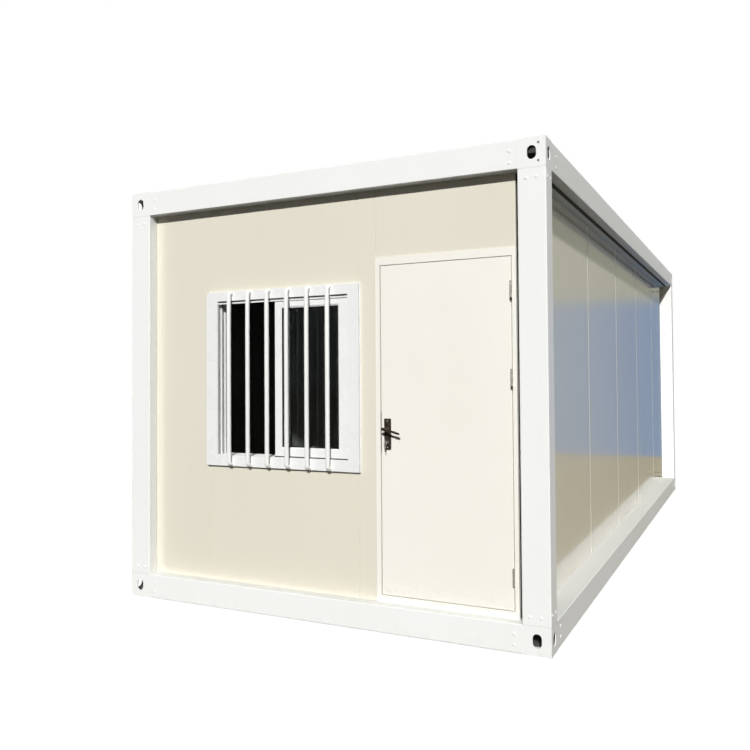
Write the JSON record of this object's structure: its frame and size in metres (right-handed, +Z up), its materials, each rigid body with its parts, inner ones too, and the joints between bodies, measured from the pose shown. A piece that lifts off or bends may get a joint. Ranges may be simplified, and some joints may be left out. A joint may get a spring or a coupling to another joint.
{
  "type": "container house",
  "caption": "Flat-pack container house with a folded steel frame, sandwich panel walls, a barred sliding window and a hinged steel door with a lever handle.",
  "frame": {"origin": "centre of the footprint at ground level", "axes": "+Z up, front wall with door and window faces -Y, long side along Y"},
  "size_m": [3, 6.055, 2.8],
  "materials": {
    "frame_paint": "satin off-white paint on folded galvanised steel",
    "panel_coat": "glossy cream coil coating on sandwich panels",
    "galvanised": "plain zinc coating",
    "floor_board": "sealed board",
    "ceiling_coat": "white coil coating",
    "window_plastic": "smooth white",
    "window_glass": "clear float glass",
    "bar_paint": "white paint on round bar",
    "door_paint": "warm white paint, light gloss",
    "hinge_steel": "painted with the door",
    "dark_bronze": "dark bronze lacquer",
    "lock_metal": "nickel"
  },
  "bodies": {
    "house": {"back_wall_panels": "panel_coat", "bottom_beam_back": "frame_paint", "bottom_beam_front": "frame_paint", "bottom_beam_left": "frame_paint", "bottom_beam_right": "frame_paint", "bottom_corner_fittings": "frame_paint", "ceiling_panel": "ceiling_coat", "door_frame": "door_paint", "door_side_filler": "panel_coat", "floor_board": "floor_board", "floor_joists": "galvanised", "front_panel_above_window": "panel_coat", "front_panel_below_window": "panel_coat", "front_panel_beside_door": "panel_coat", "front_panel_left": "panel_coat", "front_panel_over_door": "panel_coat", "hinges_on_frame": "hinge_steel", "left_wall_panels": "panel_coat", "post_back_left": "frame_paint", "post_back_right": "frame_paint", "post_front_left": "frame_paint", "post_front_right": "frame_paint", "right_wall_panels": "panel_coat", "roof_gutters": "galvanised", "roof_purlins": "galvanised", "roof_sheet": "galvanised", "strike_plate": "lock_metal", "top_beam_back": "frame_paint", "top_beam_front": "frame_paint", "top_beam_left": "frame_paint", "top_beam_right": "frame_paint", "top_corner_fittings": "frame_paint", "window_bars": "bar_paint", "window_frame": "window_plastic", "window_glass": "window_glass", "window_sash_left": "window_plastic", "window_sash_right": "window_plastic"},
    "door": {"door_leaf": "door_paint", "hinges_on_leaf": "hinge_steel", "lock_plates": "dark_bronze", "lock_cylinder": "lock_metal"},
    "handle": {"lever_handle": "dark_bronze"}
  },
  "joints": [
    {"name": "door_hinge", "type": "hinge", "parent": "house", "child": "door", "pos_m": [1.2765, -2.9755, 1.2], "axis": [0, 0, 1], "range_deg": [0, 120]},
    {"name": "handle_turn", "type": "hinge", "parent": "door", "child": "handle", "pos_m": [0.493, -2.9655, 1.19], "axis": [0, 1, 0], "range_deg": [0, 45], "stiffness_Nm_per_rad": 1.2, "springref_deg": -34.38}
  ]
}
